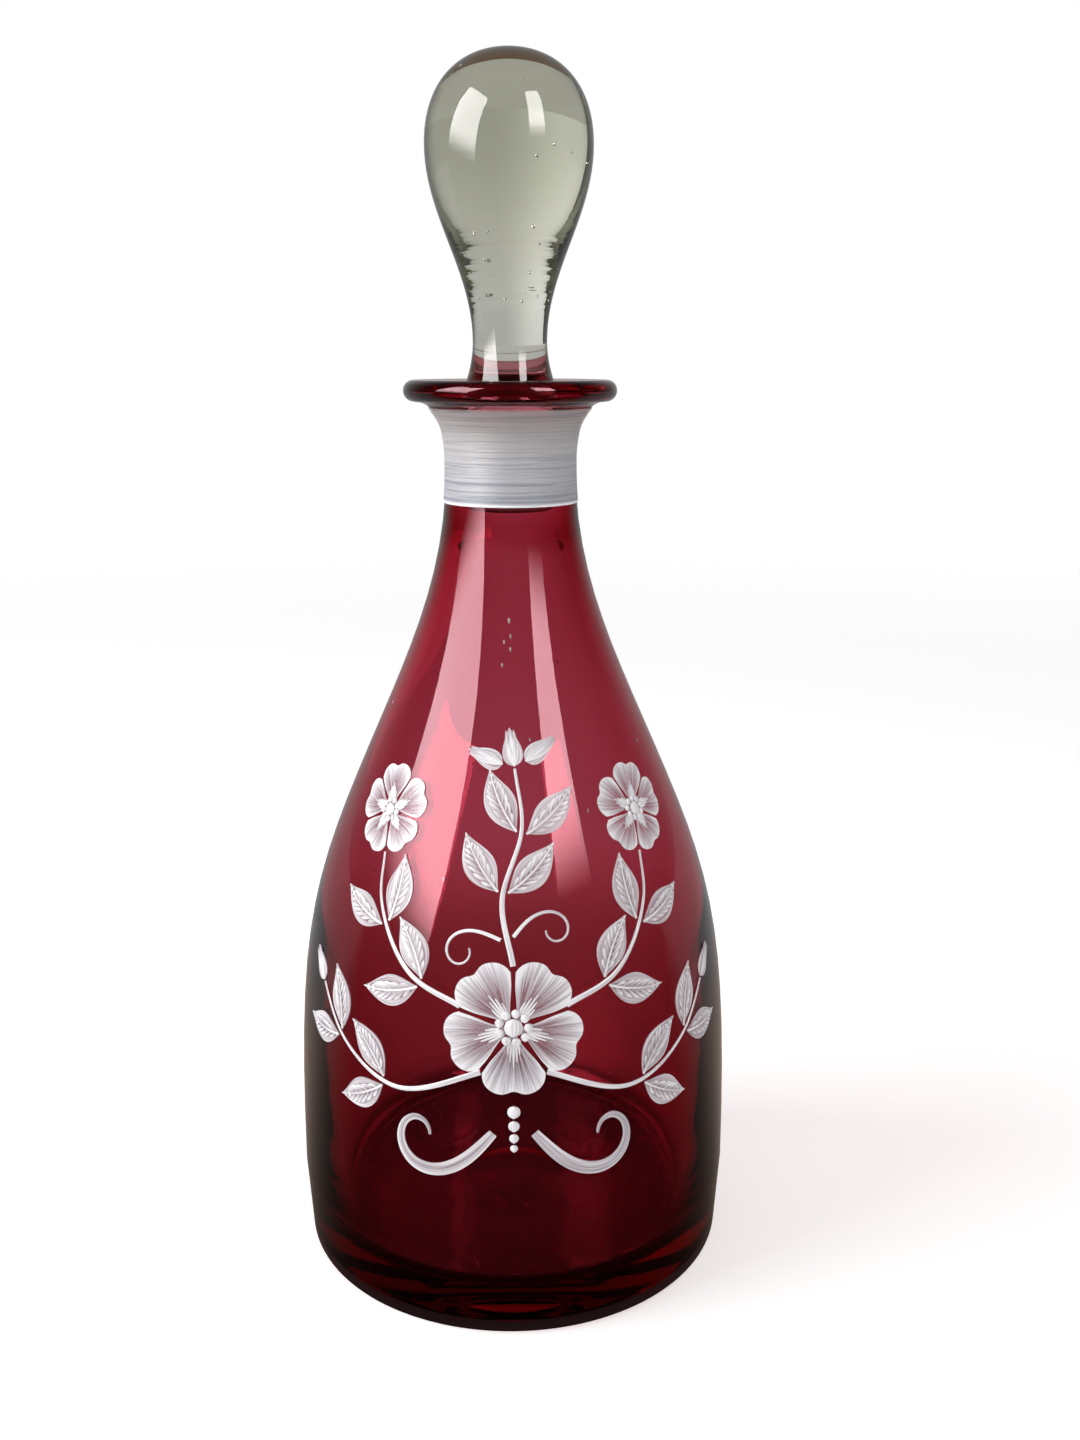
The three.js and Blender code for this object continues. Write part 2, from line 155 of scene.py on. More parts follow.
# %% The inside line
FLOOR = 8.0
FLOOR_CORNER = 6.0
PLUG_TIP = 165.0
PLUG_TOP = 189.0
MOUTH_TOP = 190.1
LINING = 0.6
HEEL_WALL = 6.3
THIN_WALL = 2.0
TAPER_START = 22
TAPER_RISE = 60
SOCKET_TIP_RADIUS, SOCKET_TOP_RADIUS = 9.2, 9.9


def socket_radius(height):
    return between(SOCKET_TIP_RADIUS, SOCKET_TOP_RADIUS, (height - PLUG_TIP) / (PLUG_TOP - PLUG_TIP))


def wall_at(height):
    """The wall is heavy round the floor, thin in the body, and thick again at the socket."""
    body = between(HEEL_WALL, THIN_WALL, min((height - TAPER_START) / TAPER_RISE, 1))
    neck = outside_radius(PLUG_TIP) - socket_radius(PLUG_TIP)
    return between(body, neck, eased(height, SHOULDER[1], PLUG_TIP))


def bore_radius(height):
    if height >= PLUG_TIP:
        return socket_radius(height)
    return outside_radius(height) - wall_at(height) * math.hypot(1, slope(outside_radius, height))


WALL_START = FLOOR + FLOOR_CORNER
print("the hollow's radius at the floor and at 60 mm:", bore_radius(WALL_START), bore_radius(60))

# %% [markdown]
# ## Turning
#
# By hand a profile is drawn as a Bezier curve in front of the axis, made a mesh and spun. The same
# happens here: a curve primitive gets its knots and handles, is converted, and the Spin operator turns
# it. The ends on the axis close to a pole when doubles are merged, so the body has no hole.


# %% The curves of a profile
ROUND_PULL = 0.5523  # how far a handle reaches to its corner, for a quarter of a circle


def straight(start, end):
    return (start, start, end, end)


def rounded(start, corner, end):
    """A quarter of a round between two points, whose tangents meet in a corner."""
    near = tuple(between(a, b, ROUND_PULL) for a, b in zip(start, corner))
    far = tuple(between(a, b, ROUND_PULL) for a, b in zip(end, corner))
    return (start, near, far, end)


def through(points):
    """Smooth curves through a row of points, each handle along the line of its neighbours."""
    curves = []
    for i in range(len(points) - 1):
        before, start, end, after = (
            points[max(i - 1, 0)], points[i], points[i + 1], points[min(i + 2, len(points) - 1)],
        )
        out = tuple(s + (e - b) / 6 for s, e, b in zip(start, end, before))
        back = tuple(e - (a - s) / 6 for s, e, a in zip(start, end, after))
        curves.append((start, out, back, end))
    return curves


def backwards(curves):
    return [tuple(reversed(curve)) for curve in reversed(curves)]


# %% Drawing a profile and spinning it
def deselect_all():
    for other in bpy.context.selected_objects:
        other.select_set(False)


def merge_doubles():
    bpy.ops.mesh.select_all(action="SELECT")
    bpy.ops.mesh.remove_doubles(threshold=0.001 * MM)


def turned(name, curves, fineness=12, sides=128):
    deselect_all()
    bpy.ops.curve.primitive_bezier_curve_add(location=(0, 0, 0))
    piece = bpy.context.object
    piece.name = piece.data.name = name
    spline = piece.data.splines[0]
    spline.bezier_points.add(len(curves) - 1)
    piece.data.resolution_u = fineness
    for knot in spline.bezier_points:
        knot.handle_left_type = knot.handle_right_type = "FREE"

    def place(point):
        return Vector((point[0] * MM, 0, point[1] * MM))

    for i, knot in enumerate(spline.bezier_points):
        knot.co = place(curves[i][0] if i < len(curves) else curves[-1][3])
        knot.handle_right = place(curves[i][1]) if i < len(curves) else knot.co
        knot.handle_left = place(curves[i - 1][2]) if i > 0 else knot.co
    bpy.ops.object.convert(target="MESH")
    piece = bpy.context.object
    bpy.ops.object.mode_set(mode="EDIT")
    merge_doubles()
    bpy.ops.mesh.spin(steps=sides, angle=2 * math.pi, center=(0, 0, 0), axis=(0, 0, 1))
    merge_doubles()
    bpy.ops.mesh.normals_make_consistent(inside=False)
    bpy.ops.object.mode_set(mode="OBJECT")
    bpy.ops.object.shade_smooth()
    print(name, "has", len(piece.data.polygons), "faces")
    return piece


# %% [markdown]
# ## The glass of the bottle
#
# On the real bottle the two layers are fused, so light bends only where glass meets air: at the outside
# and at the inside of the hollow. The outer piece therefore runs from the one to the other, and the
# ruby layer is drawn inside its wall, as a sheet that bends nothing and only takes up light. Two
# separate walls with air between them would show a bright seam that fused glass doesn't have.

# %% The line of the hollow
floor_corner = rounded(
    (bore_radius(WALL_START) - FLOOR_CORNER, FLOOR),
    (bore_radius(WALL_START), FLOOR),
    (bore_radius(WALL_START), WALL_START),
)
wall_heights = [between(WALL_START, PLUG_TIP, i / 16) for i in range(17)] + [MOUTH_TOP]


def bore_line(offset, top, socket_offset=None):
    """The hollow's line, from the middle of its floor up to the mouth, moved into the wall."""
    heights = [z for z in wall_heights if z < top] + [top]
    wall = []
    for z in heights:
        moved = offset
        if socket_offset is not None:
            moved = between(offset, socket_offset, eased(z, PLUG_TIP, LIP_START))
        lean = math.hypot(1, slope(bore_radius, z)) if z < PLUG_TIP - 1 else 1
        wall.append((bore_radius(z) + moved * lean, z))
    start, near, far, _ = floor_corner
    corner = (
        (start[0], start[1] - offset), (near[0] + offset * 0.55, near[1] - offset),
        (far[0] + offset, far[1] - offset * 0.55), wall[0],
    )
    return [straight((0, FLOOR - offset), corner[0]), corner, *through(wall)]


# %% Profile of the casing
HOLLOW_TOP = 3.0
PONTIL = (12.9, 1.5)
RING_INSIDE, RING_OUTSIDE = 38.0, 44.9
MOUTH_ROUND = 0.8

mouth_radius = bore_radius(MOUTH_TOP)
mouth_edge = (mouth_radius + MOUTH_ROUND, MOUTH_TOP + MOUTH_ROUND)
bead_side = (LIP_MIDDLE[0] + BEAD, LIP_MIDDLE[1])
casing_profile = [
    ((0, HOLLOW_TOP), (4.3, HOLLOW_TOP), (8.6, 2.5), PONTIL),
    (PONTIL, (21.3, PONTIL[1]), (29.6, 1.0), (RING_INSIDE, 0)),
    straight((RING_INSIDE, 0), (RING_OUTSIDE, 0)),
    rounded((RING_OUTSIDE, 0), (HEEL[0], 0), HEEL),
    *OUTSIDE,
    rounded(UNDER_LIP, (bead_side[0], UNDER_LIP[1]), bead_side),
    rounded(bead_side, (bead_side[0], LIP_TOP), (LIP_MIDDLE[0], LIP_TOP)),
    straight((LIP_MIDDLE[0], LIP_TOP), mouth_edge),
    rounded(mouth_edge, (mouth_radius, mouth_edge[1]), (mouth_radius, MOUTH_TOP)),
    *backwards(bore_line(0, MOUTH_TOP)),
]
casing = turned("casing", casing_profile)

# %% [markdown]
# ## The ruby lining
#
# The ruby gather was blown inside the clear one, so it lines the hollow and follows the lip round its
# bead. It is 0.6 mm thick in the body, and thins out in the ground socket and on the floor, where more
# of it would look black.

# %% Profile of the ruby lining, a sheet inside the casing's wall
SKIN = 0.03  # clear glass between the ruby and the hollow
FLOOR_LINING = 0.28
LIP_SKIN = 0.55  # clear glass over the ruby in the lip
LIP_LAYER = 0.3
SOCKET_LINING = 0.2
LIP_START = 183.0
LIP_WEB = 0.15
lining_top = MOUTH_TOP - SKIN


def lip_line(depth, start):
    """The line of the rolled lip, moved inwards, from the throat round the bead to the mouth."""
    under = [
        (outside_radius(z) - depth * math.hypot(1, slope(outside_radius, z)), z)
        for z in (start, 184.6, 186.0)
    ]
    bead = BEAD - depth
    low = (LIP_MIDDLE[0], LIP_MIDDLE[1] - bead)
    side = (LIP_MIDDLE[0] + bead, LIP_MIDDLE[1])
    high = (LIP_MIDDLE[0], LIP_MIDDLE[1] + bead)
    return [
        *through([*under, low]),
        rounded(low, (side[0], low[1]), side), rounded(side, (side[0], high[1]), high),
        straight(high, (mouth_radius + 0.9, high[1])),
    ]


wall_up = bore_line(LINING, LIP_START, SOCKET_LINING)
wall_up[0] = straight((0, FLOOR - FLOOR_LINING), (wall_up[0][3][0], FLOOR - FLOOR_LINING))
wall_up[1] = (wall_up[0][3], (wall_up[1][1][0], FLOOR - FLOOR_LINING), *wall_up[1][2:])
lip_skin = lip_line(LIP_SKIN, LIP_START)
lip_core = lip_line(LIP_SKIN + LIP_LAYER, LIP_START + LIP_WEB)
hollow = bore_line(SKIN, lining_top)
socket_side = bore_radius(LIP_START) + SOCKET_LINING
lining_profile = [
    *wall_up, straight(wall_up[-1][3], lip_skin[0][0]), *lip_skin,
    straight(lip_skin[-1][3], lip_core[-1][3]), *backwards(lip_core),
    straight(lip_core[0][0], (socket_side, LIP_START + LIP_WEB)),
    straight((socket_side, LIP_START + LIP_WEB), (mouth_radius + SOCKET_LINING, lining_top)),
    straight((mouth_radius + SOCKET_LINING, lining_top), hollow[-1][3]),
    *backwards(hollow),
]
lining = turned("lining", lining_profile, fineness=8)

# %% [markdown]
# ## The stopper
#
# The finial and the plug are one piece of solid clear glass, a drop drawn out over a narrow waist. The
# plug is ground to the socket, and it carries on down inside the neck.

# %% Profile of the stopper
PLUG_FOOT = (7.9, PLUG_TIP)
PLUG_SIDE = (8.93, PLUG_TIP + 1)
PLUG_SHOULDER = (9.6, PLUG_TOP)
WAIST = (7.6, 199.1)
DROP = (16.8, 236.4)
CROWN = (0, 254.3)

stopper = turned("clear_stopper", [
    straight((0, PLUG_TIP), PLUG_FOOT),
    rounded(PLUG_FOOT, (8.9, PLUG_TIP), PLUG_SIDE),
    straight(PLUG_SIDE, PLUG_SHOULDER),
    (PLUG_SHOULDER, (PLUG_SHOULDER[0], 190.0), (WAIST[0], 194.1), WAIST),
    (WAIST, (WAIST[0], 213.1), (DROP[0], 223.1), DROP),
    (DROP, (DROP[0], 247.8), (9.9, CROWN[1]), CROWN),
], fineness=24)

# %% [markdown]
# ## Shader maths
#
# A material is easier to read as a formula than as a web of nodes. This small class wraps a socket, so
# that plus, minus and times add the Math nodes themselves. Every other node comes from add_node, which
# takes its type, its settings and what goes into its sockets.


# %% The socket class
class Wire:
    """A socket of one material, with the arithmetic that the materials use."""

    def __init__(self, tree, socket):
        self.tree, self.socket = tree, socket

    def maths(self, operation, *values):
        return add_node(self.tree, "ShaderNodeMath", {"operation": operation}, values)

    def __add__(self, other):
        return self.maths("ADD", self, other)

    def __mul__(self, other):
        return self.maths("MULTIPLY", self, other)

    def __sub__(self, other):
        return self.maths("SUBTRACT", self, other)

    def __rsub__(self, other):
        return self.maths("SUBTRACT", other, self)

    def __truediv__(self, other):
        return self.maths("DIVIDE", self, other)

    __radd__, __rmul__ = __add__, __mul__

    def most(self, other):
        return self.maths("MAXIMUM", self, other)

    def least(self, other):
        return self.maths("MINIMUM", self, other)


# %% Nodes and materials
def add_node(tree, kind, settings=None, values=(), output=0):
    """Adds a node, sets it up, and fills its sockets by place or by name with values or links."""
    node = tree.nodes.new(kind)
    for key, setting in (settings or {}).items():
        setattr(node, key, setting)
    filled = values.items() if isinstance(values, dict) else enumerate(values)
    for key, value in filled:
        if isinstance(value, Wire):
            tree.links.new(value.socket, node.inputs[key])
        else:
            node.inputs[key].default_value = value
    return Wire(tree, node.outputs[output])


def new_material(name):
    material = bpy.data.materials.new(name)
    material.use_nodes = True
    tree = material.node_tree
    tree.nodes.clear()
    return material, tree


# %% Places, noise, ramps, colours and kinds of ray
WHITE = (1, 1, 1, 1)


def noise(tree, place, scale, detail):
    values = {"Vector": place, "Scale": scale, "Detail": detail}
    return add_node(tree, "ShaderNodeTexNoise", None, values, "Fac")


def spread(wire, low, high, value_low=0.0, value_high=1.0):
    """Goes evenly from one value to another while the wire goes from low to high."""
    return add_node(wire.tree, "ShaderNodeMapRange", None, [wire, low, high, value_low, value_high])


def ramp(wire, low, high, value_low, value_high):
    """As spread does, but eased at both ends."""
    return add_node(wire.tree, "ShaderNodeMapRange", {"interpolation_type": "SMOOTHSTEP"},
                    [wire, low, high, value_low, value_high])


def coordinates(tree, kind):
    return add_node(tree, "ShaderNodeTexCoord", None, (), kind)


def axes_of(place):
    """The X, Y and Z of a place or a direction."""
    parts = place.tree.nodes.new("ShaderNodeSeparateXYZ")
    place.tree.links.new(place.socket, parts.inputs[0])
    return [Wire(place.tree, parts.outputs[axis]) for axis in "XYZ"]


def mixed(tree, share, first, second):
    """A colour between two colours."""
    return add_node(tree, "ShaderNodeMix", {"data_type": "RGBA"}, {0: share, 6: first, 7: second}, 2)


def kinds_of_ray(tree):
    """Wires that are 1 for the camera's own rays, for those through glass and for mirrored ones."""
    camera, glass, glossy = (
        add_node(tree, "ShaderNodeLightPath", None, (), f"Is {kind} Ray")
        for kind in ("Camera", "Transmission", "Glossy")
    )
    return camera, glass, (glossy - glass).most(0.0)


def principled(tree, sockets):
    return add_node(tree, "ShaderNodeBsdfPrincipled", None, sockets)


def finish_material(tree, surface, volume=None):
    output = tree.nodes.new("ShaderNodeOutputMaterial")
    tree.links.new(surface.socket, output.inputs["Surface"])
    if volume is not None:
        tree.links.new(volume.socket, output.inputs["Volume"])


# %% [markdown]
# ## Glass
#
# Clear glass is a Principled shader with full transmission. Lamps could light the floor through it only
# by chance, so a shadow ray meets a tinted Transparent shader instead. The ruby is a Volume Absorption:
# the longer the way through the sheet, the deeper the red.


# %% A glass material
def glass(name, ior=1.5, mirror_tint=WHITE, through_tint=WHITE, absorbs=None, look=None):
    material, tree = new_material(name)
    body = principled(tree, {
        "Base Color": WHITE, "Roughness": 0.0, "IOR": ior, "Transmission Weight": 1.0,
        "Specular Tint": mirror_tint, **(look(tree) if look else {}),
    })
    clear = add_node(tree, "ShaderNodeBsdfTransparent", None, [through_tint])
    shadow = add_node(tree, "ShaderNodeLightPath", None, (), "Is Shadow Ray")
    surface = add_node(tree, "ShaderNodeMixShader", None, [shadow, body, clear])
    volume = None
    if absorbs:
        colour, density = absorbs
        volume = add_node(tree, "ShaderNodeVolumeAbsorption", None, [colour, density])
    finish_material(tree, surface, volume)
    return material


# %% The worked glass of the drop, with a painted dark rim
TOOL_MARKS = (221 * MM, 227 * MM)  # full below the first height, nearly gone above the second
CALM_WAIST = (201 * MM, 207 * MM)
GROUND_PLUG = (188.2 * MM, 188.9 * MM)


def worked_glass_with_painted_rim(tree):
    """The tool marks of the drop, the ground side of its plug, and a painted shade that darkens its
    rims.
    """
    place = coordinates(tree, "Object")
    height = axes_of(place)[2]
    drawn = add_node(tree, "ShaderNodeMapping", None, {"Vector": place, "Scale": (0.12, 0.12, 1.0)})
    rings = noise(tree, drawn, 420.0, 2.0)
    swells = noise(tree, place, 55.0, 1.0)
    worked = ramp(height, TOOL_MARKS[1], TOOL_MARKS[0], 0.1, 1.0)
    calm = ramp(height, *CALM_WAIST, 0.0, 1.0)
    relief = add_node(tree, "ShaderNodeBump", None, {
        "Strength": 0.6, "Distance": 0.5 * MM, "Height": rings * worked * calm * 0.7 + swells * 0.9,
    })
    ground = spread(height, *GROUND_PLUG, 0.3, 0.0)
    # Painted shade: the colour goes nearly black where the drop is seen aslant, for the dark edges of
    # clear glass.
    aslant = add_node(tree, "ShaderNodeLayerWeight", None, [0.5], "Facing")
    rim = ramp(aslant, 0.5, 0.83, 0.0, 1.0)
    painted_rim_shade = mixed(tree, rim, WHITE, (0.04, 0.03, 0.024, 1))
    return {"Base Color": painted_rim_shade, "Roughness": ground, "Normal": relief}


# %% Three glasses and the air of the seeds
casing_glass = glass(
    "casing_crystal", mirror_tint=(1.0, 0.6, 0.68, 1), through_tint=(0.97, 0.97, 0.97, 1),
    absorbs=((0.76, 0.0, 0.2, 1), 105.0),
)
ruby_glass = glass("ruby_lining", ior=1.0, absorbs=((0.803, 0.071, 0.238, 1), 2100.0))
stopper_glass = glass("stopper_crystal", absorbs=((0.40, 0.42, 0.125, 1), 24.0), look=worked_glass_with_painted_rim)
# The seeds are white, a painted reflection for the mirror of a bubble's air; those in the drop also
# mirror a little.
wall_seed, tree = new_material("wall_seed")
finish_material(tree, principled(tree, {"Base Color": WHITE, "Roughness": 0.2}))
drop_seed, tree = new_material("drop_seed")
finish_material(tree, principled(tree, {"Base Color": WHITE, "Metallic": 0.4, "Roughness": 0.12}))
print("glasses:", casing_glass.name, ruby_glass.name, stopper_glass.name)


# %% Glass on the bottle and the stopper
def give(piece, material):
    piece.data.materials.clear()
    piece.data.materials.append(material)


give(casing, casing_glass)
give(lining, ruby_glass)
give(stopper, stopper_glass)
for piece, node, body in [
    (casing, "clear_casing", "bottle"),
    (lining, "ruby_lining", "bottle"),
    (stopper, "stopper", "stopper"),
]:
    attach(piece, body)
    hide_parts(node)

# %% [markdown]
# ## The neck band
#
# White enamel was brushed round the neck while the bottle turned, so the band is a thin sleeve on the
# glass. It follows the outside line, a quarter of a millimetre above it, and is turned as the glass was.

# %% The neck band
BAND = (166.7, 185.9)
BAND_THICKNESS = 0.25
BAND_GAP = 0.02


def band_line(offset):
    heights = [between(*BAND, i / 6) for i in range(7)]
    return through([
        (outside_radius(z) + offset * math.hypot(1, slope(outside_radius, z)), z) for z in heights
    ])


band_outside, band_inside = band_line(BAND_THICKNESS), band_line(BAND_GAP)
band = turned("band", [
    straight(band_inside[0][0], band_outside[0][0]), *band_outside,
    straight(band_outside[-1][3], band_inside[-1][3]), *backwards(band_inside),
])

# %% [markdown]
# ## Seeds
#
# Hand-made glass keeps a few bubbles. Such a bubble is a tiny mirror, because light inside the glass
# can't get out into its air, so it shows as a bright speck. Those in the wall were drawn out as the
# body was blown.

# %% Seeds in the drop
def seeds(name, body, spots, material):
    """Bubbles at spots given as a place, a radius and how far each one is drawn out."""
    deselect_all()
    for k, (spot, radius, drawn) in enumerate(spots):
        centre = Vector(spot) * MM
        bpy.ops.mesh.primitive_ico_sphere_add(subdivisions=3, radius=radius * MM, location=centre)
        if k == 0:
            piece = bpy.context.object
            piece.name = piece.data.name = name
            bpy.ops.object.transform_apply(location=True, rotation=False, scale=False)
            bpy.ops.object.mode_set(mode="EDIT")
        bpy.ops.transform.resize(value=(1, 1, drawn), center_override=centre)
    bpy.ops.object.mode_set(mode="OBJECT")
    bpy.ops.object.shade_smooth()
    give(piece, material)
    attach(piece, body)
    return piece


DEEP_SEEDS, SHALLOW_SEEDS = 16, 34
drop_random = random.Random(3)
drop_spots = []
for _ in range(DEEP_SEEDS):
    height = drop_random.uniform(206, 248)
    reach = between(4, 12, eased(height, 206, 236)) * (1 - eased(height, 238, 252) * 0.5)
    turn, share = drop_random.uniform(0, 2 * math.pi), math.sqrt(drop_random.random())
    drop_spots.append((
        (math.cos(turn) * reach * share, math.sin(turn) * reach * share, height),
        drop_random.uniform(0.1, 0.24), drop_random.uniform(1.0, 1.6),
    ))
for _ in range(SHALLOW_SEEDS):
    height = drop_random.uniform(207, 221)
    reach = between(7.8, 13.2, (height - 205) / 17) - 0.7
    turn = drop_random.uniform(0, 2 * math.pi)
    drop_spots.append((
        (math.cos(turn) * reach, math.sin(turn) * reach, height),
        drop_random.uniform(0.12, 0.3), drop_random.uniform(0.5, 1.1),
    ))
seeds("drop_seeds", "stopper", drop_spots, drop_seed)

# %% Seeds in the wall, by the degrees round the bottle, the height and the radius
SEED_DEPTH = 0.75
WALL_SEEDS = (
    (-1.5, 144.5, 0.2), (-0.5, 141.5, 0.17), (-0.6, 139.0, 0.17), (-4.4, 140.4, 0.15),
    (-5.2, 136.0, 0.15), (7.5, 122.0, 0.13), (-21.0, 96.0, 0.16), (27.0, 108.0, 0.15),
    (64.0, 118.0, 0.18), (102.0, 84.0, 0.2), (151.0, 130.0, 0.18), (196.0, 101.0, 0.2),
    (233.0, 76.0, 0.17), (285.0, 125.0, 0.16),
)
wall_spots = []
for angle, height, radius in WALL_SEEDS:
    turn, reach = math.radians(angle), outside_radius(height) - SEED_DEPTH
    wall_spots.append(((math.sin(turn) * reach, -math.cos(turn) * reach, height), radius * 1.25, 2.4))
seeds("wall_seeds", "bottle", wall_spots, wall_seed)
print(len(drop_spots), "seeds in the drop and", len(wall_spots), "in the wall")

# %% [markdown]
# ## The painted spray
#
# The flowers are laid on in brush strokes of white enamel, dense where the brush was full and thin
# where it ran dry, so that the ruby shows through. A stroke follows a line over glass that curves both
# ways, which no single operator draws. Each stroke is therefore a grid primitive whose rows are set
# along the line, and a Solidify modifier gives the sheet its thickness. Every vertex keeps how much
# enamel lies there, for the material to read.

# %% Points and ways on the glass
SPRAY_HEIGHT = 69.0
ENAMEL = 0.2
UP = Vector((0, 0, 1))


def way_out(point):
    flat = Vector((point.x, point.y, 0)).normalized()
    return (flat - UP * slope(outside_radius, point.z)).normalized()


def over_glass(point, lift):
    flat = Vector((point.x, point.y, 0)).normalized()
    return flat * outside_radius(point.z) + UP * point.z + way_out(point) * lift


def on_spray(angle, rise):
    """A point of the front, some degrees round the glass and so far above the large blossom."""
    height = SPRAY_HEIGHT + rise
    turn = math.radians(angle)
    return Vector((math.sin(turn), -math.cos(turn), 0)) * outside_radius(height) + UP * height


def turned_way(way, point, angle):
    spun = way.copy()
    spun.rotate(Quaternion(way_out(point), math.radians(angle)))
    return spun


# %% Lines over the glass
class Route:
    """A line over the glass, as points close together, read by the share of its length."""

    def __init__(self, points):
        self.points = points
        self.reached = [0.0]
        for a, b in zip(points, points[1:]):
            self.reached.append(self.reached[-1] + (b - a).length)
        self.length = self.reached[-1]

    def at(self, share):
        goal = min(max(share, 0), 1) * self.length
        for i, (low, high) in enumerate(zip(self.reached, self.reached[1:])):
            if goal <= high:
                return self.points[i].lerp(self.points[i + 1], (goal - low) / (high - low))
        return self.points[-1].copy()

    def heading(self, share):
        return (self.at(share + 0.02) - self.at(share - 0.02)).normalized()


def bent_route(start, way, length, bend):
    middle = start + way * length / 2
    end = middle + turned_way(way, start, bend) * length / 2
    shares = [i / 16 for i in range(17)]
    return Route([start.lerp(middle, t).lerp(middle.lerp(end, t), t) for t in shares])


def curled_route(start, way, length, turn):
    points, heading, steps = [start.copy()], way.copy(), 36
    for i in range(steps):
        points.append(points[-1] + heading * length / steps)
        heading = turned_way(heading, points[-1], turn * (2 * i + 1) / steps ** 2)
    return Route(points)


def flowing_route(knots):
    """A smooth line through a few points, with the pull of each end shared out by their distances."""
    knots = [2 * knots[0] - knots[1], *knots, 2 * knots[-1] - knots[-2]]
    points = []
    for before, start, end, after in zip(knots, knots[1:], knots[2:], knots[3:]):
        pairs = ((before, start), (start, end), (end, after))
        d0, d1, d2 = (math.sqrt((q - p).length) for p, q in pairs)
        leave = ((start - before) / d0 - (end - before) / (d0 + d1) + (end - start) / d1) * d1
        arrive = ((end - start) / d1 - (after - start) / (d1 + d2) + (after - end) / d2) * d1
        for i in range(16):
            t = i / 16
            points.append(
                start * (2 * t ** 3 - 3 * t ** 2 + 1) + leave * (t ** 3 - 2 * t ** 2 + t)
                + end * (3 * t ** 2 - 2 * t ** 3) + arrive * (t ** 3 - t ** 2)
            )
    return Route([*points, knots[-2].copy()])


# %% [markdown]
# ## Sheets of enamel
#
# A brush leaves a ribbon of enamel, wide or narrow, pointed or round at its ends. A sheet says where
# its points lie, how much enamel they carry, how long and wide it is, and how many faces it has.

# %% Ribbons and their outlines
def ribbon(route, half_width, load, rows=16, columns=4, rise=0.0, crown=0.0):
    def place(u, v):
        centre = route.at(u)
        across = way_out(centre).cross(route.heading(u)).normalized()
        sideways = 2 * v - 1
        lift = ENAMEL / 2 + 0.03 + rise + crown * math.sqrt(max(1 - sideways * sideways, 0))
        return over_glass(centre + across * sideways * half_width(u), lift)

    widest = 2 * max(half_width(i / 8) for i in range(9))
    return (place, load, (route.length, widest), (rows, columns))


def pointed(width):
    return lambda u: width * max(math.sin(math.pi * u ** 0.9), 0.0) ** 1.2 + 0.05


def round_ended(width):
    return lambda u: width * math.sqrt(max(1 - (2 * u - 1) ** 2, 0.0)) + 0.03


def thinning(width):
    return lambda u: width * (1 - 0.6 * u)


def full(u, v):
    return 1.0


# %% One piece of enamel out of several sheets
def painted(name, sheets):
    """Adds each sheet as a grid to the same mesh, and gives it its place, load and thickness."""
    deselect_all()
    for k, (_, _, _, (rows, columns)) in enumerate(sheets):
        bpy.ops.mesh.primitive_grid_add(
            x_subdivisions=rows, y_subdivisions=columns, size=1, location=(0, 0, k),
        )
        if k == 0:
            piece = bpy.context.object
            piece.name = piece.data.name = "painted_" + name
            bpy.ops.object.mode_set(mode="EDIT")
    bpy.ops.object.mode_set(mode="OBJECT")
    mesh = piece.data
    loads = mesh.attributes.new("load", "FLOAT", "POINT")
    spots = [(round(p.co.z), p.co.x + 0.5, p.co.y + 0.5) for p in mesh.vertices]
    start = spray_random.random() * 50
    for i, (k, u, v) in enumerate(spots):
        place, load, _, _ = sheets[k]
        mesh.vertices[i].co = place(u, v) * MM
        loads.data[i].value = load(u, v)
    brush = mesh.uv_layers.active.data
    for loop in mesh.loops:
        k, u, v = spots[loop.vertex_index]
        length, width = sheets[k][2]
        brush[loop.index].uv = (start + 3.7 * k + u * length / 10, start + 1.3 * k + v * width / 10)
    wall = piece.modifiers.new("thickness", "SOLIDIFY")
    wall.thickness, wall.offset = ENAMEL * MM, 0
    bpy.ops.object.modifier_apply(modifier=wall.name)
    bpy.ops.object.mode_set(mode="EDIT")
    bpy.ops.mesh.select_all(action="SELECT")
    bpy.ops.mesh.normals_make_consistent(inside=False)
    bpy.ops.object.mode_set(mode="OBJECT")
    bpy.ops.object.shade_smooth_by_angle(angle=math.radians(40))
    piece.data.materials.append(enamel)
    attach(piece, "bottle")
    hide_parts(name)
    return piece


# %% [markdown]
# ## The enamel of the strokes
#
# A fired stroke covers the ruby fully where the brush left much enamel, and lets it through where the
# hairs ran dry. So the load of a vertex, broken up by streaks along the stroke, sets how white and how
# dense the enamel is. The streaks lie in the piece's own UV map, whose U runs along the stroke.

# %% The enamel of the strokes
spray_random = random.Random(7)
enamel, tree = new_material("painted_enamel")
brush = coordinates(tree, "UV")
load = add_node(tree, "ShaderNodeAttribute", {"attribute_name": "load"}, (), "Fac")


def hairs(along, across, detail):
    drawn = add_node(tree, "ShaderNodeMapping", None, {"Vector": brush, "Scale": (along, across, 1)})
    return spread(noise(tree, drawn, 1.0, detail), 0.3, 0.7)


fine_hairs, broad_hairs = hairs(0.8, 30.0, 2.0), hairs(0.5, 9.0, 1.0)
streaks = fine_hairs * 0.6 + broad_hairs * 0.4
cover = (load + (streaks - 0.5) * 0.75).most(0.07).least(1.0)
white = mixed(tree, cover, (0.56, 0.47, 0.54, 1), (0.84, 0.82, 0.84, 1))
relief = add_node(tree, "ShaderNodeBump", None, {
    "Strength": 0.5, "Distance": 0.15 * MM, "Height": cover * 0.5 + fine_hairs * 0.5,
})
finish_material(tree, principled(tree, {
    "Base Color": white, "Roughness": 0.3 + streaks * 0.2, "Alpha": cover, "Normal": relief,
}))
print(enamel.name, "has", len(tree.nodes), "nodes")

# %% [markdown]
# ## Strokes of the spray
#
# A leaf is a thin wash with a rib, and short strokes that leave the rib and fill up at the leaf's edge.
# A bud is a smaller wash under three strokes. A stem is a single stroke that thins out to its tip.

